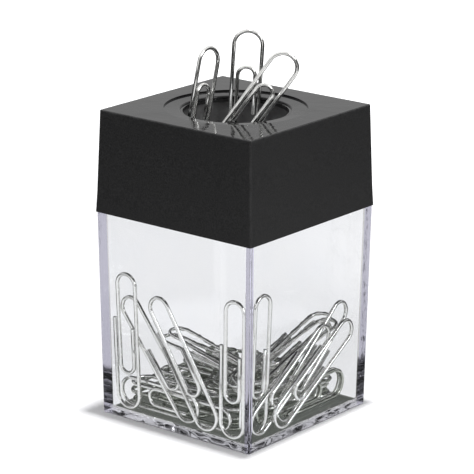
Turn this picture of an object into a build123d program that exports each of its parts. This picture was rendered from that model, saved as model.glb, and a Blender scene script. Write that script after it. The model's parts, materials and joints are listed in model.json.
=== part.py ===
"""Magnetic paper clip holder: a clear square cup full of wire clips under a black lid.

The lid plugs over the cup's neck. A ring magnet under its dished mouth is trapped by a
snap-in retainer, and clips that come near the mouth stand upright on the magnet.
Millimetres, +Z up, origin at the centre of the face that the cup stands on.
"""

import os
from math import asin, cos, degrees, radians, sin, sqrt, tan

from build123d import *

os.makedirs("parts", exist_ok=True)

# Paper clip: one length of wire bent into three nested half-round loops
clip_length = 33.0
clip_width = 7.4
wire = 0.9
leg_gap = 0.35  # free space between neighbouring legs
loop_nest = 8.4  # from the end of the outer loop to the end of the inner loop
outer_leg_end = 21.8  # free outer end, from the end of the outer loop
inner_leg_end = 19.8  # free inner end, from the end of the outer loop
wire_sides = 6  # the wire is drawn as a hexagon bar, flats level with the clip's plane
bend_chords = 5  # each half-round bend is drawn in this many straight chords

# Cup: its floor is sized so that a clip can lie flat in any direction
floor_room = 6.1  # floor width beyond the length of a clip
cup_wall = 2.05
floor_thickness = 1.6
cup_height = 48.3  # up to the shoulder that carries the lid
cup_draft = 0.9  # degrees, the cup widens upwards
cup_corner_radius = 0.5
foot_round = 0.35
neck_height = 4.5  # thin upper rim that plugs into the lid
neck_chamfer = 0.25

# Lid
lid_height = 23.7
lid_wall = 1.1
lid_top_thickness = 1.6
lid_draft = 1.8  # degrees, the lid narrows upwards
lid_overhang = 0.15  # skirt proud of the cup wall
lid_corner_radius = 0.5
lid_edge_round = 0.3
rim_height = 4.5  # flared lower rim
rim_flare = 0.08  # how far the rim stands out from the skirt's taper
neck_clearance = 0.12  # sideways, between neck and skirt

# Dish and mouth in the lid's top
dish_diameter = 32.6
dish_depth = 0.35  # sharp step at the rim of the dish
dish_fall = 0.15  # further slope from the step down to the mouth
mouth_diameter = 25.1
mouth_round = 0.3
lip_drop = 0.35  # ledge just inside the mouth
lip_diameter = 24.0
mouth_plate = 0.9  # plastic left between the ledge and the magnet

# Magnet pocket under the mouth
pocket_gap = 1.4  # between the pocket and the skirt, at the ceiling
magnet_inner = 27.0
magnet_height = 6.0
magnet_chamfer = 0.3
pocket_clearance = 0.1  # sideways, round the magnet and the retainer
pocket_wall = 1.2
pocket_skirt = 0.4  # pocket wall below the retainer
rib_thickness = 1.0
rib_height = 5.0
retainer_thickness = 1.4
retainer_inner = 28.6
lug_count = 4
lug_width = 3.0
lug_height = 0.8
lug_reach = 0.7  # how far a lug stands out through its window
window_clearance = 0.15

# Heap of clips in the cup
clip_clearance = 0.12  # between clips, walls and floor
lean_tiers = (2, 3)  # clips leaning one behind the other on the -Y and +X walls
edge_tiers = (1, 2)  # clips lying on edge behind those
upright_lean = 2.0  # degrees, the clip that stands in the left corner
layer_count = 5  # layers of clips lying on the floor, each across the one below
lane_count = 4  # clips side by side in a layer
layer_tilt = 0.25  # degrees, largest tilt of a layer
tilt_turn = 77.0  # degrees round the compass from one layer's tilt to the next
swing_turn_angle = 137.0  # sets how each clip is turned in its lane
slide_turn_angle = 101.0  # sets how far each clip lies along its lane
loose_angle = 28.0  # of the clip that lies askew on the layers
fan_angle = 10.0  # clips that slope up to the -X wall
fan_count = 2
fan_swing_angle = 5.0
fan_shift = 1.7  # of the fan, from the middle of its wall
bundle_angle = 15.0  # clips that slope over the fan up to the +Y wall
bundle_count = 3
bundle_swing_angle = 4.0

# Clips standing up in the mouth, held by the magnet
mouth_clearance = 0.1  # between a standing clip and the lip
front_bearing = 39.0  # degrees round from -Y towards +X, the side that a user reaches from
left_shift = 6.1  # sideways from the middle of the mouth
back_shift = -1.2
front_shift = 1.2
left_stand = 14.15  # length above the lid's top
back_stand = 15.7
front_stand = 17.45

# Sizes worked out from those above
floor_side = clip_length + floor_room
floor_half = floor_side / 2
cup_lean = tan(radians(cup_draft))
lid_lean = tan(radians(lid_draft))
foot_half = floor_half + cup_wall - floor_thickness * cup_lean
shoulder_half = foot_half + cup_height * cup_lean
bore_half = shoulder_half - cup_wall
lid_foot_half = shoulder_half + lid_overhang
lid_top = cup_height + lid_height
lid_top_half = lid_foot_half - lid_height * lid_lean
ceiling = lid_top - lid_top_thickness
dish_floor = lid_top - dish_depth - dish_fall
lip_level = dish_floor - lip_drop
skirt_half = lid_foot_half - lid_wall
ceiling_half = skirt_half - (ceiling - cup_height) * lid_lean
magnet_top = lip_level - mouth_plate
magnet_bottom = magnet_top - magnet_height
retainer_bottom = magnet_bottom - retainer_thickness
pocket_outer = ceiling_half - pocket_gap
pocket_radius = pocket_outer - pocket_wall
magnet_radius = pocket_radius - pocket_clearance
pocket_bottom = retainer_bottom - pocket_skirt
leg_pitch = wire + leg_gap
outer_radius = (clip_width - wire) / 2
inner_radius = outer_radius - leg_pitch
end_radius = (outer_radius + inner_radius) / 2
loop_half = clip_width / 2
wire_corner = wire / 2 / cos(radians(180 / wire_sides))
clip_reach = outer_radius + wire_corner  # half width over the corners of the bar
tier_pitch = wire + clip_clearance


def write(piece, name):
    """Names a finished piece and writes it to its own file."""
    piece.part.label = name
    export_step(piece.part, f"parts/{name}.step")


def square(half, level, radius):
    """A square with rounded corners, centred on the axis at the given level."""
    with BuildSketch(Plane.XY.offset(level)) as outline:
        RectangleRounded(2 * half, 2 * half, radius)
    return outline.sketch


# Clear cup
inner_corner = cup_corner_radius / 2
neck_half = lid_foot_half - lid_wall - neck_clearance
neck_top = cup_height + neck_height
neck_upper_half = neck_half - (neck_height - neck_chamfer) * lid_lean
with BuildPart() as cup:
    loft([square(foot_half, 0, cup_corner_radius), square(shoulder_half, cup_height, cup_corner_radius)])
    fillet(cup.faces().sort_by(Axis.Z)[0].edges(), foot_round)
    loft(
        [
            square(neck_half, cup_height, cup_corner_radius),
            square(neck_upper_half, neck_top - neck_chamfer, cup_corner_radius),
        ]
    )
    loft(
        [
            square(neck_upper_half, neck_top - neck_chamfer, cup_corner_radius),
            square(neck_upper_half - neck_chamfer, neck_top, cup_corner_radius),
        ]
    )
    loft(
        [square(floor_half, floor_thickness, inner_corner), square(bore_half, cup_height, inner_corner)],
        mode=Mode.SUBTRACT,
    )
    extrude(square(bore_half, cup_height, inner_corner), amount=neck_height, mode=Mode.SUBTRACT)
write(cup, "cup")

# Black lid: tapered shell, flared rim, dished mouth, magnet pocket and corner ribs
rim_top = cup_height + rim_height
rib_span = 2 * sqrt(2) * (lid_top_half - lid_wall / 2)
with BuildPart() as lid:
    loft(
        [
            square(lid_foot_half - rim_height * lid_lean, rim_top, lid_corner_radius),
            square(lid_top_half, lid_top, lid_corner_radius),
        ]
    )
    fillet(lid.faces().sort_by(Axis.Z)[-1].edges(), lid_edge_round)
    loft(
        [
            square(lid_foot_half + rim_flare, cup_height, lid_corner_radius),
            square(lid_foot_half - rim_height * lid_lean, rim_top, lid_corner_radius),
        ]
    )
    loft(
        [
            square(skirt_half, cup_height, inner_corner),
            square(ceiling_half, ceiling, inner_corner),
        ],
        mode=Mode.SUBTRACT,
    )
    with BuildSketch(Plane.XY.offset(ceiling - rib_height)) as ribs:
        for turn in (45, 135):
            with Locations(Rot(0, 0, turn)):
                Rectangle(rib_span, rib_thickness)
    extrude(amount=rib_height)
    with BuildSketch(Plane.XY.offset(pocket_bottom)) as pocket:
        Circle(pocket_outer)
    extrude(amount=ceiling - pocket_bottom)
    with BuildSketch(Plane.XY.offset(pocket_bottom)) as well:
        Circle(pocket_radius)
    extrude(amount=magnet_top - pocket_bottom, mode=Mode.SUBTRACT)
    with BuildSketch(Plane.XZ) as mouth:
        with BuildLine():
            Polyline(
                (0, lid_top + dish_depth),
                (dish_diameter / 2, lid_top + dish_depth),
                (dish_diameter / 2, lid_top - dish_depth),
                (mouth_diameter / 2, dish_floor),
                (mouth_diameter / 2, lip_level),
                (lip_diameter / 2, lip_level),
                (lip_diameter / 2, pocket_bottom),
                (0, pocket_bottom),
                close=True,
            )
        make_face()
    revolve(axis=Axis.Z, mode=Mode.SUBTRACT)
    brim = lid.edges().filter_by(GeomType.CIRCLE).filter_by(lambda e: abs(e.radius - mouth_diameter / 2) < mouth_round)
    fillet(brim.sort_by(Axis.Z)[-1], mouth_round)
    with Locations((0, 0, magnet_bottom - lug_height / 2)):
        with PolarLocations(pocket_radius + pocket_wall / 2, lug_count):
            Box(
                2 * pocket_wall,
                lug_width + 2 * window_clearance,
                lug_height + 2 * window_clearance,
                mode=Mode.SUBTRACT,
            )
write(lid, "lid")

# Ferrite ring magnet, seated against the mouth plate
with BuildPart() as magnet:
    with BuildSketch(Plane.XY.offset(magnet_bottom)):
        Circle(magnet_radius)
        Circle(magnet_inner / 2, mode=Mode.SUBTRACT)
    extrude(amount=magnet_height)
    chamfer(magnet.edges().filter_by(GeomType.CIRCLE), magnet_chamfer)
write(magnet, "magnet_ring")

# Retainer: a flat ring whose lugs snap into the pocket's windows under the magnet
with BuildPart() as retainer:
    with BuildSketch(Plane.XY.offset(retainer_bottom)):
        Circle(magnet_radius)
        Circle(retainer_inner / 2, mode=Mode.SUBTRACT)
    extrude(amount=retainer_thickness)
    lug_root = pocket_wall
    with Locations((0, 0, magnet_bottom - lug_height / 2)):
        with PolarLocations(magnet_radius + (lug_reach + pocket_clearance - lug_root) / 2, lug_count):
            Box(lug_root + lug_reach + pocket_clearance, lug_width, lug_height)
write(retainer, "magnet_retainer")


def bend(centre_x, centre_y, radius, start, turn):
    """Corners of a half-round bend, evenly spaced from the start angle through the turn."""
    angles = [radians(start + turn * step / bend_chords) for step in range(bend_chords + 1)]
    return [(centre_x + radius * cos(a), centre_y + radius * sin(a)) for a in angles]


# Paper clip, lying in the XY plane: outer loop's end at the origin, long axis along +Y
with BuildPart() as clip:
    with BuildLine() as route:
        Polyline(
            (-outer_radius, outer_leg_end),
            *bend(0, loop_half, outer_radius, 180, 180),
            *bend(
                outer_radius - end_radius,
                clip_length - wire / 2 - end_radius,
                end_radius,
                0,
                180,
            ),
            *bend(0, loop_nest + wire / 2 + inner_radius, inner_radius, 180, 180),
            (inner_radius, inner_leg_end),
        )
    with BuildSketch(Plane(origin=route.line @ 0, x_dir=(0, 0, 1), z_dir=route.line % 0)):
        RegularPolygon(wire / 2, wire_sides, major_radius=False, rotation=180 / wire_sides)
    sweep(path=route.line, transition=Transition.RIGHT)


def place_clip(name, place):
    """Writes one paper clip at the given place."""
    with BuildPart() as piece:
        with Locations(place):
            add(clip.part)
    write(piece, name)


def wall(side):
    """Inner face of a cup wall, seen from outside: x to the right, y up the wall, z outwards.

    Sides count round from the -Y wall: 0 is -Y, 1 is +X, 2 is +Y and 3 is -X.
    """
    outwards = (0, -cos(radians(cup_draft)), -sin(radians(cup_draft)))
    face = Plane(origin=(0, -floor_half, floor_thickness), x_dir=(1, 0, 0), z_dir=outwards)
    return Rot(0, 0, 90 * side) * face.location


def lean_clip(name, side, tier, foot, lean, flip=0):
    """A clip on its outer loop, leaning along a wall; foot is measured from the wall's left end."""
    depth = clip_clearance + wire / 2 + tier * tier_pitch
    place_clip(
        name,
        wall(side)
        * Pos(foot - floor_half, clip_reach + clip_clearance, -depth)
        * Rot(0, 0, lean)
        * Rot(0, 180 * flip, 0)
        * Pos(0, -loop_half, 0),
    )


# Clips leaning on the two front walls, feet measured from each wall's left corner
beside = clip_reach + 2 * clip_clearance  # closest that a loop's centre comes to a corner
upright_room = (clip_length - loop_half) * (tan(radians(upright_lean)) - cup_lean)
corner_foot = floor_side - beside
lean_clip("wall_clip_1", side=0, tier=0, foot=beside + upright_room, lean=upright_lean)
lean_clip("wall_clip_2", side=0, tier=1, foot=2.85 * clip_width, lean=37, flip=1)
lean_clip("wall_clip_3", side=0, tier=0, foot=corner_foot - 2 * clip_reach - clip_clearance, lean=32)
lean_clip("wall_clip_4", side=0, tier=0, foot=corner_foot, lean=-cup_draft)
lean_clip("wall_clip_5", side=1, tier=1, foot=beside + tier_pitch, lean=-56)
lean_clip("wall_clip_6", side=1, tier=2, foot=2.1 * clip_width, lean=-49, flip=1)
lean_clip("wall_clip_7", side=1, tier=0, foot=1.65 * clip_width, lean=-57)
lean_clip("wall_clip_8", side=1, tier=2, foot=beside + tier_pitch, lean=-2)

# Clips on edge behind them, outer loops towards the left and the right corner
for tier in range(edge_tiers[0]):
    lean_clip(f"left_edge_clip_{tier + 1}", side=0, tier=lean_tiers[0] + tier, foot=beside, lean=-90)
for tier in range(edge_tiers[1]):
    lean_clip(f"right_edge_clip_{tier + 1}", side=1, tier=lean_tiers[1] + tier, foot=corner_foot, lean=90)

# Floor that the tiers leave free, where the other clips lie
tier_depth = [2 * clip_clearance + sum(tiers) * tier_pitch for tiers in zip(lean_tiers, edge_tiers)]
zone_left = clip_clearance - floor_half
zone_right = floor_half - tier_depth[1]
zone_front = tier_depth[0] - floor_half
zone_back = floor_half - clip_clearance
zone_wide = zone_right - zone_left
zone_deep = zone_back - zone_front
zone_middle = Pos((zone_left + zone_right) / 2, (zone_front + zone_back) / 2)
half_straight = clip_length / 2 - clip_reach  # from a clip's middle to the centre of its end loop

# Layers of clips in lanes, each clip a little askew in its lane
level = floor_thickness + clip_clearance + wire / 2
last_tilt = (0, 0)
clip_number = 0
for layer in range(layer_count):
    crossing = (layer + 1) % 2
    lane_length, lane_span = (zone_wide, zone_deep) if crossing else (zone_deep, zone_wide)
    lane_width = lane_span / lane_count
    swing_limit = asin(((lane_width - clip_clearance) / 2 - clip_reach) / half_straight)
    lift = layer_tilt if layer else 0  # the lowest layer lies flat on the floor
    tilt = (lift * cos(radians(layer * tilt_turn)), lift * sin(radians(layer * tilt_turn)))
    if layer:
        spread = [abs(tan(radians(new)) - tan(radians(old))) for new, old in zip(tilt, last_tilt)]
        level += tier_pitch + sum(spread) * max(zone_wide, zone_deep) / 2
    last_tilt = tilt
    for lane in range(lane_count):
        swing = degrees(swing_limit) * sin(radians(clip_number * swing_turn_angle))
        slide = (lane_length - clip_length) / 2 * sin(radians(clip_number * slide_turn_angle))
        clip_number += 1
        place_clip(
            f"pile_clip_{clip_number:02d}",
            zone_middle
            * Pos(0, 0, level)
            * Rot(*tilt, 0)
            * Rot(0, 0, 90 * crossing)
            * Pos((lane - (lane_count - 1) / 2) * lane_width, slide, 0)
            * Rot(0, 0, swing)
            * Rot(0, 0, 180 * (clip_number % 2))
            * Pos(0, -clip_length / 2, 0),
        )

# One more clip askew on the layers
level += tier_pitch
place_clip(
    "loose_clip",
    zone_middle * Pos(0, 0, level) * Rot(*last_tilt, 0) * Rot(0, 0, loose_angle) * Pos(0, -clip_length / 2, 0),
)
heap_top = level + wire / 2 + sum(tan(radians(abs(slant))) for slant in last_tilt) * max(zone_wide, zone_deep) / 2


def slope_end(low_end, angle):
    """How far past the middle of the floor a sloping clip's low end lies."""
    high_end = low_end + clip_length * sin(radians(angle))
    face = floor_half + (high_end - floor_thickness) * cup_lean
    return clip_length * cos(radians(angle)) + 2 * clip_clearance + wire - face


def slope_clip(name, side, along, low_end, angle, swing):
    """A clip with its outer loop on the heap and its other end up against a back wall.

    Along is measured from the middle of the wall, low_end is the height under the outer loop,
    and swing turns the clip in its own plane.
    """
    place_clip(
        name,
        Rot(0, 0, 90 * side)
        * Pos(along, slope_end(low_end, angle), low_end + wire / 2)
        * Rot(-angle, 0, 0)
        * Rot(0, 0, 180)
        * Pos(0, clip_length / 2, 0)
        * Rot(0, 0, swing)
        * Pos(0, -clip_length / 2, 0),
    )


# A fan of clips on the heap, each on the one before, up against the -X wall
fan_seat = heap_top + clip_clearance
for tier in range(fan_count):
    slope_clip(
        f"fan_clip_{tier + 1}",
        side=3,
        along=fan_shift,
        low_end=fan_seat + tier * tier_pitch,
        angle=fan_angle,
        swing=fan_swing_angle * (-1) ** tier,
    )

# A bundle lies across the fan, up against the +Y wall beside the clips that lean on the +X wall
fan_sway = half_straight * sin(radians(fan_swing_angle))
bundle_sway = half_straight * sin(radians(bundle_swing_angle))
bundle_middle = floor_half - 3 * clip_clearance - lean_tiers[1] * tier_pitch - clip_reach - bundle_sway
bundle_edge = bundle_middle - clip_reach - bundle_sway
fan_edge = -fan_shift - clip_reach - fan_sway
fan_end = slope_end(fan_seat, fan_angle)
bundle_end = slope_end(fan_seat, bundle_angle)
fan_height = fan_seat + fan_count * tier_pitch + (fan_end - bundle_edge) * tan(radians(fan_angle))
bundle_seat = fan_height + clip_clearance - (fan_edge + bundle_end) * tan(radians(bundle_angle))
for tier in range(bundle_count):
    slope_clip(
        f"bundle_clip_{tier + 1}",
        side=2,
        along=-bundle_middle,
        low_end=bundle_seat + tier * tier_pitch,
        angle=bundle_angle,
        swing=bundle_swing_angle * (-1) ** tier,
    )


def rim_clip(name, bearing, sideways, lean, standing):
    """A clip standing in the mouth with its outer loop up, its back to the lip.

    Bearing is measured from the front of the mouth, sideways and lean are to the right as seen
    from outside, and standing is the length above the lid's top.
    """
    slant = radians(lean)
    drop = lid_top - lip_level + mouth_plate
    low = sideways - drop * tan(slant)
    span = max(abs(sideways), abs(low)) + clip_reach / cos(slant)
    back = sqrt((lip_diameter / 2 - mouth_clearance) ** 2 - span**2) - wire / 2
    turn = radians(front_bearing + bearing)
    face = Plane(
        origin=(back * sin(turn), -back * cos(turn), lid_top),
        x_dir=(cos(turn), sin(turn), 0),
        z_dir=(sin(turn), -cos(turn), 0),
    )
    place_clip(
        name,
        face.location
        * Pos(sideways + standing * sin(slant), standing * cos(slant), 0)
        * Rot(0, 0, 180 - lean),
    )
    print(name, "pulls out along", cos(turn) * sin(slant), sin(turn) * sin(slant), cos(slant))


rim_clip("rim_clip_left", bearing=-130, sideways=left_shift, lean=-15, standing=left_stand)
rim_clip("rim_clip_back", bearing=175, sideways=back_shift, lean=-3.2, standing=back_stand)
rim_clip("rim_clip_front", bearing=6, sideways=front_shift, lean=36, standing=front_stand)
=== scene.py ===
# %% [markdown]
# # A magnetic paper clip holder
# The real holder is a clear square cup under a black lid. A ring magnet below the lid's
# round mouth makes clips stand up where fingers can reach them.
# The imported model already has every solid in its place, in metres. This script keeps the
# cup, lid, magnet and retainer, gives the clips true round wire, and adds finishes, light
# and a camera.

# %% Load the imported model
import json
from functools import reduce
from math import cos, radians, sin

import bmesh
import bpy
import numpy as np
from mathutils import Matrix, Vector


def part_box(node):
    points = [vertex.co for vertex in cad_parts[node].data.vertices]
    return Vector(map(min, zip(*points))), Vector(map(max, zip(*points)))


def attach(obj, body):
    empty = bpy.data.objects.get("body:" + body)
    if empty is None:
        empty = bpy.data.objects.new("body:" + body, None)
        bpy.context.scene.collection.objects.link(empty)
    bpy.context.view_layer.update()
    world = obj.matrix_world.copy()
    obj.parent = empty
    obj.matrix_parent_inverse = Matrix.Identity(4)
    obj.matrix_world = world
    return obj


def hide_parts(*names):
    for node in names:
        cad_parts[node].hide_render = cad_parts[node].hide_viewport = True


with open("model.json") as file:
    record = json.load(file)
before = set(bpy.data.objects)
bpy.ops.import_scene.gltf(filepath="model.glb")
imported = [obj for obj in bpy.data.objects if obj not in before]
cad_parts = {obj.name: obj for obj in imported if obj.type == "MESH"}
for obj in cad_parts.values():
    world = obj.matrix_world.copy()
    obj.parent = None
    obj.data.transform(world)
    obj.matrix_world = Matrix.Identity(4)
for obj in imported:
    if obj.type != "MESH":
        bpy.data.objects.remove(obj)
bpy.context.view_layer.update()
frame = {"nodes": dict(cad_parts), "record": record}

scene = bpy.context.scene
scene.view_settings.view_transform = "Standard"
bodies = frame["record"]["behaviour"]["bodies"]
body_of = {node: body for body, nodes in bodies.items() for node in nodes}

# %% [markdown]
# ## Camera
# The photograph looks at a front corner of the cup from a little above, through a long
# lens, so that upright edges hardly converge. A camera can be aimed with a constraint, but
# here its three axes are written out from the viewing angles. That makes each angle a value
# that can be compared with the photograph.

# %% Camera
image_side = 474  # pixels
focal_length = 2673  # pixels
view_azimuth = radians(38.96)  # round from -Y towards +X
view_elevation = radians(16.74)
view_roll = radians(0.29)
lid_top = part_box("lid")[1].z
view_distance = 8.493 * lid_top
picture_right, picture_up = 0.006, 0.072  # shift of the picture's middle, as shares of the lid's height

towards = Vector((
    sin(view_azimuth) * cos(view_elevation),
    -cos(view_azimuth) * cos(view_elevation),
    sin(view_elevation),
))
level_right = Vector((cos(view_azimuth), sin(view_azimuth), 0))
level_up = towards.cross(level_right)
right = level_right * cos(view_roll) + level_up * sin(view_roll)
up = level_up * cos(view_roll) - level_right * sin(view_roll)
eye = Vector((0, 0, lid_top / 2)) + towards * view_distance
eye += (right * picture_right + up * picture_up) * lid_top

lens = bpy.data.cameras.new("camera")
lens.sensor_width = 36
lens.lens = lens.sensor_width * focal_length / image_side
camera = bpy.data.objects.new("camera", lens)
camera.matrix_world = Matrix((right, up, towards)).transposed().to_4x4()
camera.location = eye
scene.collection.objects.link(camera)
scene.camera = camera
print("camera at", eye, "with a lens of", round(lens.lens, 1), "mm")

# %% [markdown]
# ## Shader tools
# Blender materials are graphs of nodes. A few helpers keep them readable: they add nodes,
# fill their inputs with numbers or with links, and do sums on them. Others start and place
# groups. A group is a graph with named sockets that several finishes can share.

# %% Helpers for shader nodes
def fill(tree, made, inputs):
    """Fills a node's inputs with values or with links."""
    for name, value in inputs.items():
        if isinstance(value, bpy.types.NodeSocket):
            tree.links.new(value, made.inputs[name])
        else:
            made.inputs[name].default_value = value


def node(tree, kind, inputs=None, **options):
    """Adds a shader node, sets its options and fills its inputs."""
    made = tree.nodes.new(kind)
    for name, value in options.items():
        setattr(made, name, value)
    fill(tree, made, inputs or {})
    return made


def maths(tree, operation, first, second=0.0, third=0.0):
    """One Math node; gives back its output."""
    return node(tree, "ShaderNodeMath", {0: first, 1: second, 2: third}, operation=operation).outputs[0]


def product(tree, *factors):
    """Product of two or more numbers."""
    return reduce(lambda first, second: maths(tree, "MULTIPLY", first, second), factors)


def largest(tree, *values):
    """Largest of two or more numbers."""
    return reduce(lambda first, second: maths(tree, "MAXIMUM", first, second), values)


def ramp(tree, value, low, high, start=0.0, end=1.0):
    """Smooth step: start below low, end above high."""
    limits = {"Value": value, "From Min": low, "From Max": high, "To Min": start, "To Max": end}
    return node(tree, "ShaderNodeMapRange", limits, interpolation_type="SMOOTHSTEP").outputs[0]


def mix(tree, factor, first, second):
    """Mixes two numbers by a factor."""
    inputs = {"Factor": factor, "A": first, "B": second}
    return node(tree, "ShaderNodeMix", inputs, data_type="FLOAT").outputs[0]


def blend(tree, factor, first, second):
    """Mixes two colours by a factor."""
    made = node(tree, "ShaderNodeMix", {"Factor": factor}, data_type="RGBA")
    for socket, value in ((6, first), (7, second)):  # the node's A and B for colours
        fill(tree, made, {socket: value if isinstance(value, bpy.types.NodeSocket) else (*value, 1)})
    return made.outputs[2]


def along(tree, vector, direction):
    """How far a vector reaches along a direction."""
    inputs = {0: vector, 1: direction}
    return node(tree, "ShaderNodeVectorMath", inputs, operation="DOT_PRODUCT").outputs["Value"]


def noise(tree, vector, scale, detail, **more):
    """Smooth noise from 0 to 1."""
    inputs = {"Vector": vector, "Scale": scale, "Detail": detail, **more}
    return node(tree, "ShaderNodeTexNoise", inputs).outputs["Fac"]


def group(name, inputs, outputs):
    """Starts a node group with named number sockets and a Vector input."""
    tree = bpy.data.node_groups.new(name, "ShaderNodeTree")
    tree.interface.new_socket("Vector", in_out="INPUT", socket_type="NodeSocketVector")
    for label in inputs:
        tree.interface.new_socket(label, in_out="INPUT", socket_type="NodeSocketFloat")
    for label in outputs:
        tree.interface.new_socket(label, in_out="OUTPUT", socket_type="NodeSocketFloat")
    return tree, tree.nodes.new("NodeGroupInput").outputs, tree.nodes.new("NodeGroupOutput").inputs


def use(tree, shared, inputs):
    """Places a shared group in a graph; gives back its outputs."""
    return node(tree, "ShaderNodeGroup", inputs, node_tree=shared).outputs


def finish(name):
    """A new material with its Principled shader."""
    material = bpy.data.materials.new(name)
    material.use_nodes = True
    tree = material.node_tree
    return material, tree, tree.nodes["Principled BSDF"]


def raise_surface(tree, shader, height):
    """Bumps a finish by a height in metres."""
    bump = node(tree, "ShaderNodeBump", {"Strength": 1.0, "Distance": 1.0, "Height": height})
    tree.links.new(bump.outputs[0], shader.inputs["Normal"])


print("shader helpers ready")

# %% [markdown]
# ## Studio
# The photograph has a white ground with a faint soft shadow. The floor is a pale sheet that
# adds its own white for the camera, so the background stays white without more light on the
# object, and the shadow stays in the part that lamps light.
# Black plastic, bright wire and clear walls show little colour of their own, so what they
# mirror or let through makes their look. Floor and room therefore look different to each
# kind of ray:
# - A ray that came through the cup unmirrored sees the white background, and the patch that
#   the cup stands on in the cup's own shade.
# - A mirrored ray sees pale cards on a dark table, and a room with light behind, above and
#   in a window to the left.
# - A ray that a clip sent out through the cup sees a floor that is bright in front and
#   straight behind and dark at the sides, so clips low in the cup are white with dark edges.
# - A ray that was mirrored inside one wall is guided by it. Turned once, it sees the same
#   cards as a ray off the wall's front. Turned more often, it leaves at a corner, where
#   light comes from everywhere at once.

# %% Kinds of ray
def ray_kinds(tree):
    """Light Path outputs, and masks for rays guided inside one wall, unmirrored, and not straight from the camera."""
    rays = node(tree, "ShaderNodeLightPath").outputs
    one_wall = maths(tree, "LESS_THAN", rays["Transmission Depth"], 2.5)
    guided = product(tree, one_wall, maths(tree, "GREATER_THAN", rays["Ray Depth"], 2.5))
    unmirrored = maths(tree, "LESS_THAN", rays["Glossy Depth"], 0.5)
    indirect = largest(tree, rays["Is Glossy Ray"], rays["Is Transmission Ray"])
    return rays, guided, unmirrored, indirect


camera_side = Vector((sin(view_azimuth), -cos(view_azimuth), 0))
print("the camera looks from", camera_side)

# %% Floor
floor_half = 3.0
floor_level = -0.00004  # a hair of air, without which the cup's base would not mirror
floor_corners = [(x * floor_half, y * floor_half, floor_level) for x, y in ((-1, -1), (1, -1), (1, 1), (-1, 1))]
floor_mesh = bpy.data.meshes.new("floor")
floor_mesh.from_pydata(floor_corners, [], [(0, 1, 2, 3)])
floor = bpy.data.objects.new("floor", floor_mesh)
scene.collection.objects.link(floor)
print("floor", 2 * floor_half, "m wide")

# %% Floor's light
paper, tree, shader = finish("floor_paper")
shader.inputs["Base Color"].default_value = (0.7, 0.7, 0.71, 1)
shader.inputs["Roughness"].default_value = 0.9
shader.inputs["Specular IOR Level"].default_value = 0.1
rays, guided, unmirrored, indirect = ray_kinds(tree)

# Places on the floor, in metres from the middle of the holder
where = node(tree, "ShaderNodeTexCoord").outputs["Object"]
place = node(tree, "ShaderNodeSeparateXYZ", {0: where}).outputs
beside = along(tree, where, level_right)
aside = maths(tree, "ABSOLUTE", beside)
ahead = along(tree, where, camera_side)
reach = node(tree, "ShaderNodeVectorMath", {0: where}, operation="LENGTH").outputs["Value"]
under = largest(tree, maths(tree, "ABSOLUTE", place["X"]), maths(tree, "ABSOLUTE", place["Y"]))

# Cards on a dark table, as mirrors see them
table = 0.04
sheet = product(tree, ramp(tree, reach, 0.08, 0.13, 0.1, 0.6), ramp(tree, reach, 0.15, 0.21, 1.0, table))
apron = product(tree, ramp(tree, ahead, 0.04, 0.07), ramp(tree, reach, 0.15, 0.2, 1.0, table))
fan = maths(tree, "DIVIDE", aside, largest(tree, ahead, 0.01))
far = product(tree, ramp(tree, ahead, 0.32, 0.4), ramp(tree, fan, 0.35, 0.5, 1.0, 0.0))
reflector = product(tree, ramp(tree, beside, 0.02, 0.06), ramp(tree, ahead, 0.03, 0.06))
reflector = product(tree, reflector, ramp(tree, reach, 0.24, 0.29, 1.0, table))
card = largest(tree, sheet, apron, far, reflector)

# The floor through the clear cup
corner_light = 0.66  # brightness of the room as the cup's corners gather it
shade = ramp(tree, under, 0.0195, 0.0225, 0.13, 1.0)
lane = largest(tree, ramp(tree, aside, 0.045, 0.065, 1.0, 0.05), ramp(tree, ahead, 0.0, 0.03))
pane = product(tree, shade, lane, ramp(tree, reach, 0.2, 0.3, 1.0, 0.3))
turned_once = maths(tree, "LESS_THAN", rays["Ray Depth"], 3.5)
inside_wall = mix(tree, turned_once, ramp(tree, under, 0.022, 0.027, 0.03, corner_light), card)
pane = mix(tree, guided, pane, inside_wall)
pane = mix(tree, unmirrored, pane, shade)

own = product(tree, rays["Is Camera Ray"], ramp(tree, reach, 0.06, 0.5, 0.1, 1.0))
white = node(tree, "ShaderNodeEmission", {"Color": (1, 1, 1, 1), "Strength": own})
lit = node(tree, "ShaderNodeAddShader", {0: shader.outputs[0], 1: white.outputs[0]})
olive = blend(tree, shade, (0.92, 1.0, 0.87), (1, 1, 1))
glow = mix(tree, rays["Is Transmission Ray"], card, pane)
mirrored = node(tree, "ShaderNodeEmission", {"Color": olive, "Strength": glow})
seen_as = node(tree, "ShaderNodeMixShader", {0: indirect, 1: lit.outputs[0], 2: mirrored.outputs[0]})
tree.links.new(seen_as.outputs[0], tree.nodes["Material Output"].inputs["Surface"])
floor_mesh.materials.append(paper)
print("floor finish:", paper.name)

# %% Room light
room = bpy.data.worlds.new("room")
scene.world = room
room.use_nodes = True
tree = room.node_tree
rays, guided, unmirrored, indirect = ray_kinds(tree)
direction = node(tree, "ShaderNodeTexCoord").outputs["Generated"]
away = along(tree, direction, -camera_side)
sideways = along(tree, direction, level_right)
height = node(tree, "ShaderNodeSeparateXYZ", {0: direction}).outputs["Z"]

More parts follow.
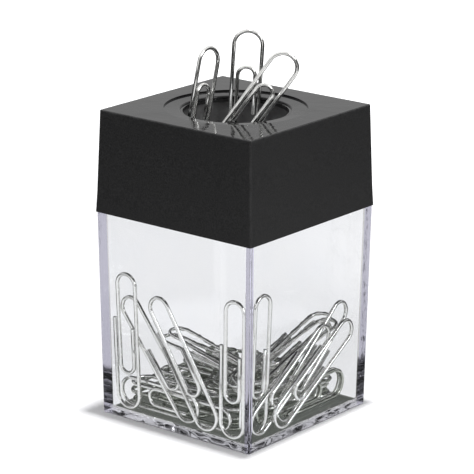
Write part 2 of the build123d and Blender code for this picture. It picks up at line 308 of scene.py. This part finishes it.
# The room as mirrors see it
behind = ramp(tree, away, 0.0, 0.5, 0.1, 0.62)
overhead = ramp(tree, height, 0.3, 0.62, 0.0, 0.9)
high = product(tree, ramp(tree, height, 0.17, 0.22, 0.0, 0.85), ramp(tree, sideways, -0.35, -0.25, 1.0, 0.0))
low = product(tree, ramp(tree, height, 0.04, 0.08, 1.0, 0.0), ramp(tree, sideways, -0.45, -0.35))
low = product(tree, low, ramp(tree, sideways, 0.05, 0.12, 1.0, 0.0))
window = product(tree, largest(tree, high, low), ramp(tree, away, -0.5, -0.25, 1.0, 0.0))
mirrored = largest(tree, behind, overhead, window)

# The room through the clear cup
dim = 0.05
front = product(tree, ramp(tree, away, -0.6, -0.25, 1.0, 0.0), ramp(tree, height, 0.3, 0.55, 1.0, 0.0))
strip = product(tree, ramp(tree, height, 0.12, 0.2), ramp(tree, height, 0.5, 0.62, 0.9, 0.0))
strip = product(tree, strip, ramp(tree, away, 0.5, 0.75, 1.0, 0.0))
inside_wall = ramp(tree, height, 0.32, 0.4, 0.01, 0.6)
through = mix(tree, guided, largest(tree, front, strip, dim), inside_wall)
through = mix(tree, unmirrored, through, 1.0)

level = mix(tree, indirect, 1.0, mix(tree, rays["Is Transmission Ray"], mirrored, through))
level = largest(tree, level, rays["Is Camera Ray"])
soft = blend(tree, indirect, (0.5, 0.5, 0.51), (1, 1, 1))
colour = blend(tree, rays["Is Camera Ray"], soft, (1, 1, 1))
tree.links.new(colour, tree.nodes["Background"].inputs["Color"])
tree.links.new(level, tree.nodes["Background"].inputs["Strength"])
print("room set")

# %% Lamps
def softbox(name, place, aim, side, watts):
    """A square area lamp at a place, turned to shine at the aim."""
    lamp = bpy.data.lights.new(name, "AREA")
    lamp.shape = "SQUARE"
    lamp.size = side
    lamp.energy = watts
    made = bpy.data.objects.new(name, lamp)
    made.location = place
    made.rotation_euler = (Vector(aim) - Vector(place)).to_track_quat("-Z", "Y").to_euler()
    scene.collection.objects.link(made)


holder_middle = (0, 0, 0.04)
softbox("lamp_overhead", place=(0.022, 0.004, 0.75), aim=holder_middle, side=0.035, watts=5.5)
softbox("lamp_right", place=(0.75, 0.05, 0.45), aim=holder_middle, side=0.4, watts=2.0)

# %% [markdown]
# ## Shared surface effects
# Moulded plastic, sintered ferrite and drawn wire all have a fine grain, and everything that
# lies on a desk picks up hairline scratches and rubbed edges. Each of these effects is one
# node group, which the finishes use with their own scale and strength.

# %% Fine grain
grain, source, result = group("fine_grain", ["Scale"], ["Height"])
grain.links.new(noise(grain, source["Vector"], source["Scale"], 4.0, Roughness=0.6), result["Height"])
print("group:", grain.name)

# %% Low waves of a moulded face
waves, source, result = group("moulding_waves", ["Scale"], ["Height"])
waves.links.new(noise(waves, source["Vector"], source["Scale"], 0.0), result["Height"])
print("group:", waves.name)

# %% Hairline scratches
scratches, source, result = group("hairline_scratches", ["Scale", "Width"], ["Mask"])
lines = []
for turn, stretch in ((0.35, 22.0), (1.25, 30.0), (2.4, 26.0)):
    turned = node(scratches, "ShaderNodeMapping", {
        "Vector": source["Vector"],
        "Rotation": (turn, 0.4 * turn, turn),
        "Scale": (1.0, stretch, stretch),
    })
    field = noise(scratches, turned.outputs[0], source["Scale"], 1.0)
    offset = maths(scratches, "ABSOLUTE", maths(scratches, "SUBTRACT", field, 0.5))
    line = maths(scratches, "SUBTRACT", 1.0, maths(scratches, "DIVIDE", offset, source["Width"]))
    lines.append(node(scratches, "ShaderNodeClamp", {"Value": line}).outputs[0])
kept = ramp(scratches, noise(scratches, source["Vector"], 160.0, 2.0), 0.52, 0.68)
scratches.links.new(product(scratches, largest(scratches, *lines), kept), result["Mask"])
print("group:", scratches.name)

# %% Places on a tapered square shell
shell, source, result = group("square_shell", ["Half Width", "Lean"], ["Level", "From Side", "From Corner"])
place = node(shell, "ShaderNodeSeparateXYZ", {0: source["Vector"]}).outputs
along_x, along_y = maths(shell, "ABSOLUTE", place["X"]), maths(shell, "ABSOLUTE", place["Y"])
half = maths(shell, "MULTIPLY_ADD", source["Lean"], place["Z"], source["Half Width"])
from_side = maths(shell, "SUBTRACT", half, largest(shell, along_x, along_y))
from_corner = maths(shell, "SUBTRACT", half, maths(shell, "MINIMUM", along_x, along_y))
shell.links.new(place["Z"], result["Level"])
shell.links.new(from_side, result["From Side"])
shell.links.new(from_corner, result["From Corner"])
print("group:", shell.name)

# %% Rubbed edges of a square shell
rub, source, result = group("rubbed_edges", ["Half Width", "Lean", "Edge Height", "Reach"], ["Mask"])
on_shell = use(rub, shell, {name: source[name] for name in ("Vector", "Half Width", "Lean")})
from_level = maths(rub, "ABSOLUTE", maths(rub, "SUBTRACT", on_shell["Level"], source["Edge Height"]))
from_rim = largest(rub, on_shell["From Side"], from_level)
nearest = maths(rub, "MINIMUM", on_shell["From Corner"], from_rim)
rubbed = maths(rub, "SUBTRACT", 1.0, maths(rub, "DIVIDE", nearest, source["Reach"]))
rubbed = node(rub, "ShaderNodeClamp", {"Value": rubbed}).outputs[0]
uneven = ramp(rub, noise(rub, source["Vector"], 420.0, 3.0), 0.35, 0.65)
rub.links.new(product(rub, rubbed, uneven), result["Mask"])
print("group:", rub.name)

# %% [markdown]
# ## Light inside a clear wall
# Light that enters the cup's wall near a corner is mirrored to and fro inside the wall many
# times before it leaves. Cycles stops a path after four mirrorings unless told otherwise,
# which would leave the corners black, so the limits are raised here.

# %% Longer light paths
scene.cycles.max_bounces = 32
scene.cycles.glossy_bounces = 24
scene.cycles.transmission_bounces = 24
print("light paths of up to", scene.cycles.max_bounces, "steps")

# %% [markdown]
# ## Black lid
# The lid is moulded in black polystyrene. Its top and dish are polished, so at this low
# angle they mirror the room and the clips, a little wavy as moulded tops are. Its sides have
# a fine satin grain that stays dark. One material does both: the height of a point on the
# lid decides which finish it gets.

# %% Black plastic
black, tree, shader = finish("black_polystyrene")
where = node(tree, "ShaderNodeTexCoord").outputs["Object"]
lid_low, lid_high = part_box("lid")
lid_lean = -0.0314  # the lid's half width falls by this for each metre up
lid_ground = lid_high.x - lid_lean * lid_low.z  # half width that the taper would have at the ground
taper = {"Vector": where, "Half Width": lid_ground, "Lean": lid_lean}
on_lid = use(tree, shell, taper)
on_top = ramp(tree, on_lid["Level"], lid_top - 0.0012, lid_top - 0.0009)
polished = product(tree, on_top, ramp(tree, on_lid["From Side"], 0.0001, 0.0003))
satin = use(tree, grain, {"Vector": where, "Scale": 3200.0})["Height"]
cloud = use(tree, grain, {"Vector": where, "Scale": 140.0})["Height"]
marks = use(tree, scratches, {"Vector": where, "Scale": 45.0, "Width": 0.012})["Mask"]
tone_shift = use(tree, rub, {**taper, "Edge Height": lid_top, "Reach": 0.0007})["Mask"]
side_tone = blend(tree, ramp(tree, satin, 0.3, 0.7), (0.0105, 0.0105, 0.0107), (0.025, 0.025, 0.0252))
tone = blend(tree, polished, side_tone, (0.009, 0.009, 0.0092))
tone = blend(tree, product(tree, tone_shift, 0.5), tone, (0.045, 0.045, 0.046))
tree.links.new(tone, shader.inputs["Base Color"])
side_rough = maths(tree, "MULTIPLY_ADD", satin, 0.2, 0.34)
top_rough = maths(tree, "MULTIPLY_ADD", cloud, 0.06, 0.03)
rough = mix(tree, polished, side_rough, top_rough)
tree.links.new(maths(tree, "ADD", rough, product(tree, marks, 0.12)), shader.inputs["Roughness"])
raise_surface(tree, shader, mix(tree, polished, product(tree, satin, 0.00003), product(tree, cloud, 0.00007)))
shader.inputs["IOR"].default_value = 1.38
frame["nodes"]["lid"].material_slots[0].material = black
print("lid is", [round(1000 * side, 1) for side in lid_high - lid_low], "mm")

# %% [markdown]
# ## Clear cup
# The cup is clear polystyrene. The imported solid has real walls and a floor, so refraction
# makes the bands at its corners and the dark ends of those bands by itself. Looked at along
# a wall, the plastic is thick enough to show its lilac tint, so camera rays that enter near a
# corner are tinted. The foot of the cup is a little wavy, which breaks the light in its floor
# into dark and bright glints. A shadow ray goes straight through, as lamp light mostly does
# in a thin clear wall.

# %% Clear plastic
clear, tree, shader = finish("clear_polystyrene")
where = node(tree, "ShaderNodeTexCoord").outputs["Object"]
rays = node(tree, "ShaderNodeLightPath").outputs
shader.inputs["Transmission Weight"].default_value = 1.0
shader.inputs["IOR"].default_value = 1.52
cup_lean = 0.0157  # the cup's half width grows by this for each metre up
cup_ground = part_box("cup")[1].x - cup_lean * lid_low.z
taper = {"Vector": where, "Half Width": cup_ground, "Lean": cup_lean}
on_cup = use(tree, shell, taper)
band = ramp(tree, along(tree, where, camera_side), 0.01, 0.025, 0.003, 0.0012)  # narrower at the front corner
corner = ramp(tree, maths(tree, "SUBTRACT", on_cup["From Corner"], band), -0.0002, 0.0002, 1.0, 0.0)
base = ramp(tree, on_cup["Level"], 0.0016, 0.0026, 1.0, 0.0)
ripple = use(tree, grain, {"Vector": where, "Scale": 70.0})["Height"]
wave = use(tree, waves, {"Vector": where, "Scale": 330.0})["Height"]
marks = use(tree, scratches, {"Vector": where, "Scale": 30.0, "Width": 0.01})["Mask"]
scuffed = use(tree, rub, {**taper, "Edge Height": 0.0, "Reach": 0.001})["Mask"]
tint = blend(tree, ramp(tree, ripple, 0.3, 0.7), (0.98, 0.984, 0.995), (0.965, 0.972, 0.99))
thick = product(tree, rays["Is Camera Ray"], largest(tree, corner, product(tree, base, 0.5)))
tree.links.new(blend(tree, thick, tint, (0.6, 0.58, 0.8)), shader.inputs["Base Color"])
rough = maths(tree, "MULTIPLY_ADD", scuffed, 0.05, 0.004)
tree.links.new(maths(tree, "ADD", product(tree, marks, 0.08), rough), shader.inputs["Roughness"])
foot_wave = product(tree, wave, base, rays["Is Camera Ray"])
raise_surface(tree, shader, maths(tree, "ADD", product(tree, ripple, 0.00005), product(tree, foot_wave, 0.0006)))
through = node(tree, "ShaderNodeBsdfTransparent", {"Color": (0.7, 0.7, 0.73, 1)})
seen_as = {0: rays["Is Shadow Ray"], 1: shader.outputs[0], 2: through.outputs[0]}
pane = node(tree, "ShaderNodeMixShader", seen_as)
tree.links.new(pane.outputs[0], tree.nodes["Material Output"].inputs["Surface"])
frame["nodes"]["cup"].material_slots[0].material = clear
print("cup finish:", clear.name)

# %% [markdown]
# ## Magnet and retainer
# The magnet is a ring of sintered ferrite: dull dark grey with a powdery grain and tiny
# pits. The retainer under it is a satin black moulding. Both show in the mouth, in shade.

# %% Ferrite
ferrite, tree, shader = finish("sintered_ferrite")
where = node(tree, "ShaderNodeTexCoord").outputs["Object"]
powder = use(tree, grain, {"Vector": where, "Scale": 2600.0})["Height"]
cloud = use(tree, grain, {"Vector": where, "Scale": 300.0})["Height"]
pits = node(tree, "ShaderNodeTexVoronoi", {"Vector": where, "Scale": 900.0}).outputs["Distance"]
pitted = ramp(tree, pits, 0.05, 0.2, 1.0, 0.0)
tone = blend(tree, ramp(tree, cloud, 0.3, 0.7), (0.1, 0.1, 0.101), (0.15, 0.149, 0.147))
tone = blend(tree, product(tree, pitted, 0.5), tone, (0.03, 0.03, 0.03))
tree.links.new(tone, shader.inputs["Base Color"])
tree.links.new(maths(tree, "MULTIPLY_ADD", powder, 0.3, 0.42), shader.inputs["Roughness"])
raise_surface(tree, shader, maths(tree, "SUBTRACT", product(tree, powder, 0.00004), product(tree, pitted, 0.00005)))
frame["nodes"]["magnet_ring"].material_slots[0].material = ferrite
print("magnet finish:", ferrite.name)

# %% Satin black
satin_black, tree, shader = finish("satin_black_plastic")
where = node(tree, "ShaderNodeTexCoord").outputs["Object"]
texture = use(tree, grain, {"Vector": where, "Scale": 1800.0})["Height"]
tone = blend(tree, ramp(tree, texture, 0.3, 0.7), (0.012, 0.012, 0.012), (0.02, 0.02, 0.021))
tree.links.new(tone, shader.inputs["Base Color"])
tree.links.new(maths(tree, "MULTIPLY_ADD", texture, 0.2, 0.38), shader.inputs["Roughness"])
raise_surface(tree, shader, product(tree, texture, 0.00004))
frame["nodes"]["magnet_retainer"].material_slots[0].material = satin_black
print("retainer finish:", satin_black.name)

# %% [markdown]
# ## Clip wire
# The clips are bent from nickel-plated steel wire. Plating mirrors the room, with faint
# lines drawn along the wire and cloudy patches where it has dulled. The lines follow the
# wire, so they read the piece's own UV map: U runs along the wire and V round it. Each clip
# also has a value that darkens its plating towards olive grey. In the heap it is painted
# shade and a painted olive reflection, varied from clip to clip by a random age.

# %% Nickel plate
nickel, tree, shader = finish("nickel_plate")
coordinates = node(tree, "ShaderNodeTexCoord").outputs
where = coordinates["Object"]
age_and_heap_shade = node(tree, "ShaderNodeAttribute", attribute_name="age_and_heap_shade").outputs["Fac"]
stretched = node(tree, "ShaderNodeMapping", {"Vector": coordinates["UV"], "Scale": (1.2, 26.0, 1.0)}).outputs[0]
drawn = use(tree, grain, {"Vector": stretched, "Scale": 1.0})["Height"]
dulled = ramp(tree, use(tree, grain, {"Vector": where, "Scale": 170.0})["Height"], 0.45, 0.7)
marks = use(tree, scratches, {"Vector": where, "Scale": 60.0, "Width": 0.02})["Mask"]
tone = blend(tree, dulled, (0.97, 0.97, 0.955), (0.86, 0.86, 0.84))
# Darker plating by the clip's value: painted shade and painted olive reflection in the heap, with a random age
tree.links.new(blend(tree, age_and_heap_shade, tone, (0.36, 0.385, 0.33)), shader.inputs["Base Color"])
rough = maths(tree, "MULTIPLY_ADD", dulled, 0.06, 0.03)
rough = maths(tree, "ADD", rough, maths(tree, "MULTIPLY_ADD", drawn, 0.03, product(tree, marks, 0.12)))
tree.links.new(rough, shader.inputs["Roughness"])
shader.inputs["Metallic"].default_value = 1.0
raise_surface(tree, shader, product(tree, drawn, 0.000012))
print("wire finish:", nickel.name)

# %% [markdown]
# ## Round wire clips
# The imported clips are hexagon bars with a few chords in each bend, which is right for
# contact but shows corners. Each one is replaced by round wire with true half-round bends.
# A curve object with a round bevel could do it. A ring of points carried along the route
# gives the same form as plain arrays, with square-cut ends that have a small chamfer.

# %% Route of a clip
clip_length, clip_width, wire = 0.033, 0.0074, 0.0009
leg_gap, loop_nest = 0.00035, 0.0084
outer_leg_end, inner_leg_end = 0.0218, 0.0198
outer_radius = (clip_width - wire) / 2
inner_radius = outer_radius - wire - leg_gap
end_radius = (outer_radius + inner_radius) / 2


def half_round(centre_x, centre_y, radius, start, chords):
    """Points on a half circle: centre + radius * (cos a, sin a), a evenly from start through 180 degrees."""
    angle = np.radians(start + 180 * np.arange(chords + 1) / chords)
    return np.stack([centre_x + radius * np.cos(angle), centre_y + radius * np.sin(angle), 0 * angle], axis=1)


def clip_route(chords):
    """Centre line of a clip in its own plane: three straight runs between half-round bends, and two free legs."""
    return np.concatenate([
        [(-outer_radius, outer_leg_end, 0)],
        half_round(0, clip_width / 2, outer_radius, 180, chords),
        half_round(outer_radius - end_radius, clip_length - wire / 2 - end_radius, end_radius, 0, chords),
        half_round(0, loop_nest + wire / 2 + inner_radius, inner_radius, 180, chords),
        [(inner_radius, inner_leg_end, 0)],
    ])


bend_chords = 22
route = clip_route(bend_chords)
print("route of", len(route), "points")

# %% Round wire along the route
def round_wire(path, radius, chamfer, sides):
    """Circle carried along a flat path: point + r * (cos a * across + sin a * up).

    Across is the path's direction turned a quarter in its plane, and up is the plane's normal.
    At both ends the radius falls to radius - chamfer over the chamfer's length, then to zero.
    Gives vertices as (ring, side, xyz) and the length along the path of each ring.
    """
    step = np.diff(path, axis=0)
    length = np.linalg.norm(step, axis=1)
    run = step / length[:, None]
    heading = np.concatenate([run[:1], run[:-1] + run[1:], run[-1:]])
    heading /= np.linalg.norm(heading, axis=1)[:, None]
    first, last = path[0] + chamfer * run[0], path[-1] - chamfer * run[-1]
    points = np.concatenate([[path[0], path[0], first], path[1:-1], [last, path[-1], path[-1]]])
    heading = np.concatenate([heading[:1], heading[:1], heading, heading[-1:], heading[-1:]])
    radii = np.full(len(points), radius)
    radii[[0, -1]], radii[[1, -2]] = 0, radius - chamfer
    across = np.stack([-heading[:, 1], heading[:, 0], 0 * heading[:, 0]], axis=1)
    angle = 2 * np.pi * np.arange(sides) / sides
    upwards = np.array([0, 0, 1])
    circle = np.cos(angle)[None, :, None] * across[:, None, :] + np.sin(angle)[None, :, None] * upwards
    gone = np.concatenate([[0], np.cumsum(np.linalg.norm(np.diff(points, axis=0), axis=1))])
    return points[:, None, :] + radii[:, None, None] * circle, gone


def tube_mesh(name, rings, gone):
    """Mesh of quads between neighbouring rings, with UV = (length along in mm, turn round), poles merged."""
    count, sides = rings.shape[:2]
    ring, side = np.meshgrid(np.arange(count - 1), np.arange(sides), indexing="ij")
    corner_ring = np.stack([ring, ring, ring + 1, ring + 1], axis=-1).reshape(-1)
    corner_side = np.stack([side, side + 1, side + 1, side], axis=-1).reshape(-1)
    mesh = bpy.data.meshes.new(name)
    mesh.vertices.add(count * sides)
    mesh.vertices.foreach_set("co", rings.reshape(-1))
    mesh.loops.add(len(corner_ring))
    mesh.loops.foreach_set("vertex_index", corner_ring * sides + corner_side % sides)
    mesh.polygons.add(len(corner_ring) // 4)
    mesh.polygons.foreach_set("loop_start", np.arange(0, len(corner_ring), 4))
    mesh.update(calc_edges=True)
    flat = np.zeros((count - 1, sides), bool)
    flat[[0, 1, -2, -1]] = True
    mesh.polygons.foreach_set("use_smooth", ~flat.reshape(-1))
    uv = mesh.uv_layers.new(name="wire")
    uv.data.foreach_set("uv", np.stack([1000 * gone[corner_ring], corner_side / sides], axis=1).reshape(-1))
    work = bmesh.new()
    work.from_mesh(mesh)
    bmesh.ops.remove_doubles(work, verts=work.verts, dist=1e-7)
    bmesh.ops.recalc_face_normals(work, faces=work.faces)
    work.to_mesh(mesh)
    work.free()
    return mesh


rings, gone = round_wire(route, wire / 2, chamfer=0.00008, sides=14)
clip_mesh = tube_mesh("clip", rings, gone)
print("one clip has", len(clip_mesh.polygons), "faces and", round(1000 * gone[-1], 1), "mm of wire")

# %% [markdown]
# ## Clips in their places
# Each packed clip lies somewhere else, turned some other way. Its place can be read from its
# surface: the middle and main directions of a clip's surface match those of the route, and
# of the four ways to point them, only one puts the surface round the route.

# %% Finding a clip's place
def triangles_of(name):
    """Corner points of a node's triangles, as (triangle, corner, xyz)."""
    mesh = frame["nodes"][name].data
    mesh.calc_loop_triangles()
    points = np.empty(3 * len(mesh.vertices), np.float32)
    mesh.vertices.foreach_get("co", points)
    corners = np.empty(3 * len(mesh.loop_triangles), np.int32)
    mesh.loop_triangles.foreach_get("vertices", corners)
    return points.reshape(-1, 3).astype(float)[corners].reshape(-1, 3, 3)


def main_axes(spread):
    """Columns: longest, middle and shortest direction of a spread matrix."""
    return np.linalg.eigh(spread)[1][:, ::-1]


def surface_frame(tri):
    """Middle and main axes of a surface, its triangles weighted by area."""
    area = np.linalg.norm(np.cross(tri[:, 1] - tri[:, 0], tri[:, 2] - tri[:, 0]), axis=1)
    middle = np.average(tri.mean(axis=1), axis=0, weights=area)
    corner = tri - middle
    centre = corner.mean(axis=1)
    spread = np.einsum("t,tci,tcj->ij", area, corner, corner)
    spread += 9 * np.einsum("t,ti,tj->ij", area, centre, centre)
    return middle, main_axes(spread)


def line_frame(path):
    """Middle and main axes of a path, its runs weighted by length."""
    weight = np.linalg.norm(np.diff(path, axis=0), axis=1)
    middle = np.average((path[:-1] + path[1:]) / 2, axis=0, weights=weight)
    start, end = path[:-1] - middle, path[1:] - middle
    centre = (start + end) / 2
    simpson = ((1, start), (1, end), (4, centre))
    spread = sum(part * np.einsum("t,ti,tj->ij", weight, point, point) for part, point in simpson)
    return middle, main_axes(spread)


packed_chords = 5
dots_per_run = 30
packed_route = clip_route(packed_chords)
route_middle, route_axes = line_frame(packed_route)
share = np.linspace(0, 1, dots_per_run)[:, None, None]
route_dots = (packed_route[:-1] * (1 - share) + packed_route[1:] * share).reshape(-1, 3)


def clip_place(name):
    """Matrix that carries the route to a packed clip, and how far its worst corner is from the wire's radius."""
    tri = triangles_of(name)
    middle, axes = surface_frame(tri)
    corners = tri.reshape(-1, 3)
    best = None
    for long_sign in (1, -1):
        for wide_sign in (1, -1):
            pointed = axes * (long_sign, wide_sign, 1)
            pointed[:, 2] *= np.sign(np.linalg.det(pointed) * np.linalg.det(route_axes))
            turn = pointed @ route_axes.T
            local = (corners - middle) @ turn + route_middle
            off = np.linalg.norm(local[:, None, :] - route_dots, axis=2).min(axis=1).max()
            if best is None or off < best[0]:
                best = (off, turn, middle - turn @ route_middle)
    off, turn, shift = best
    place = np.eye(4)
    place[:3, :3], place[:3, 3] = turn, shift
    return Matrix(place), off - wire / 2


heap_kinds = ("pile", "loose", "right_edge", "left_edge")
heap_shade_and_age, outside_heap_age = 0.45, 0.05  # middle of the heap's painted shade with random age, and the slight age of the other clips
age_step = 7.3  # radians from one clip's age to the next
worst = 0
clip_nodes = [name for name in frame["nodes"] if "_clip" in name]
for number, name in enumerate(clip_nodes):
    place, off = clip_place(name)
    worst = max(worst, off)
    mesh = clip_mesh.copy()
    mesh.transform(place)
    mesh.materials.append(nickel)
    # Clips in the heap get painted shade, varied by a random age; the others only a slight age
    tone_shift = heap_shade_and_age + heap_shade_and_age * sin(age_step * number) if name.startswith(heap_kinds) else outside_heap_age
    mesh.attributes.new("age_and_heap_shade", "FLOAT", "POINT").data.foreach_set("value", np.full(len(mesh.vertices), tone_shift))
    piece = bpy.data.objects.new(f"{name}_wire", mesh)
    scene.collection.objects.link(piece)
    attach(piece, body_of[name])
    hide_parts(name)
print(len(clip_nodes), "clips placed, corners within", round(1000 * worst, 3), "mm of the wire's radius")
